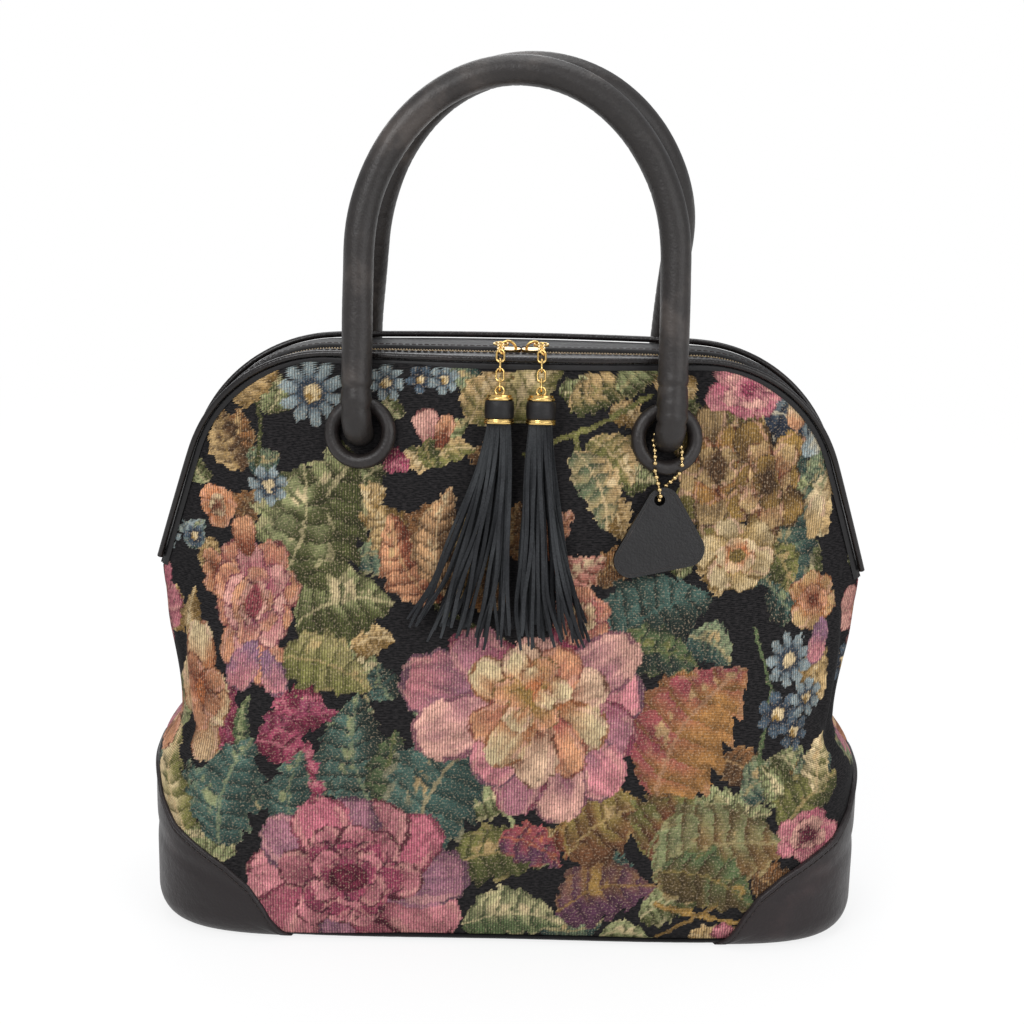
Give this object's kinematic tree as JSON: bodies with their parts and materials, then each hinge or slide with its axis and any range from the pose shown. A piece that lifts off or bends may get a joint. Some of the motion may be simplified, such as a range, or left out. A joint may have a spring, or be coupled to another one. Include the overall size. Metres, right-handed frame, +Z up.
{
  "type": "handbag",
  "caption": "Soft domed handbag in dark floral jacquard with leather corners, top band, tube handles, tassel zip pulls and a hanging tag.",
  "frame": {"origin": "centre of the base on the surface that the bag stands on", "axes": "+Z up, +X to the right as seen from the front, the front faces -Y"},
  "size_m": [0.3852, 0.1519, 0.4598],
  "materials": {
    "leather": "satin",
    "jacquard": "woven",
    "zip_tape": "matt",
    "zip_teeth": "polished",
    "board": "matt",
    "gold": "polished",
    "fringe": "matt suede",
    "lining": "matt",
    "ball_chain": "polished"
  },
  "bodies": {
    "root": {"back_left_neck": "leather", "back_left_ring": "leather", "back_panel": "jacquard", "back_piping": "leather", "back_right_neck": "leather", "back_right_ring": "leather", "back_zip_band": "leather", "back_zip_tape": "zip_tape", "back_zip_teeth": "zip_teeth", "base_board": "board", "base_panel": "jacquard", "front_left_neck": "leather", "front_left_ring": "leather", "front_panel": "jacquard", "front_piping": "leather", "front_right_neck": "leather", "front_right_ring": "leather", "front_zip_band": "leather", "front_zip_tape": "zip_tape", "front_zip_teeth": "zip_teeth", "left_corner": "leather", "lining": "lining", "right_corner": "leather", "ring_bead_chain": "ball_chain", "zip_end_tabs": "leather"},
    "left_slider": {"left_chain": "gold", "left_pull_ring": "gold", "left_slider": "gold"},
    "right_slider": {"right_chain": "gold", "right_pull_ring": "gold", "right_slider": "gold"},
    "left_tassel": {"left_fringe": "fringe", "left_tassel_barrel": "leather", "left_tassel_cap": "gold", "left_tassel_chain": "gold", "left_tassel_collar": "gold"},
    "right_tassel": {"right_fringe": "fringe", "right_tassel_barrel": "leather", "right_tassel_cap": "gold", "right_tassel_chain": "gold", "right_tassel_collar": "gold"},
    "front_handle": {"front_handle": "leather"},
    "back_handle": {"back_handle": "leather"},
    "tag": {"tag": "leather", "tag_bead_chain": "ball_chain"}
  },
  "joints": [
    {"name": "front_handle_fold", "type": "hinge", "parent": "root", "child": "front_handle", "pos_m": [0, -0.04896, 0.27381], "axis": [1, 0, 0], "range_deg": [0, 150]},
    {"name": "back_handle_fold", "type": "hinge", "parent": "root", "child": "back_handle", "pos_m": [0, 0.04896, 0.27381], "axis": [-1, 0, 0], "range_deg": [0, 150]},
    {"name": "left_zip_slide", "type": "slide", "parent": "root", "child": "left_slider", "axis": [-1, 0, 0], "range_m": [0, 0.04]},
    {"name": "right_zip_slide", "type": "slide", "parent": "root", "child": "right_slider", "axis": [1, 0, 0], "range_m": [0, 0.022]},
    {"name": "left_tassel_swing", "type": "hinge", "parent": "left_slider", "child": "left_tassel", "pos_m": [-0.0075, -0.03416, 0.3085], "axis": [-1, 0, 0], "range_deg": [0, 50]},
    {"name": "right_tassel_swing", "type": "hinge", "parent": "right_slider", "child": "right_tassel", "pos_m": [0.0135, -0.03416, 0.3085], "axis": [-1, 0, 0], "range_deg": [0, 50]},
    {"name": "tag_swing", "type": "hinge", "parent": "root", "child": "tag", "pos_m": [0.07892, -0.04684, 0.25976], "axis": [-0.9891, -0.1424, 0.037], "range_deg": [0, 25]}
  ]
}
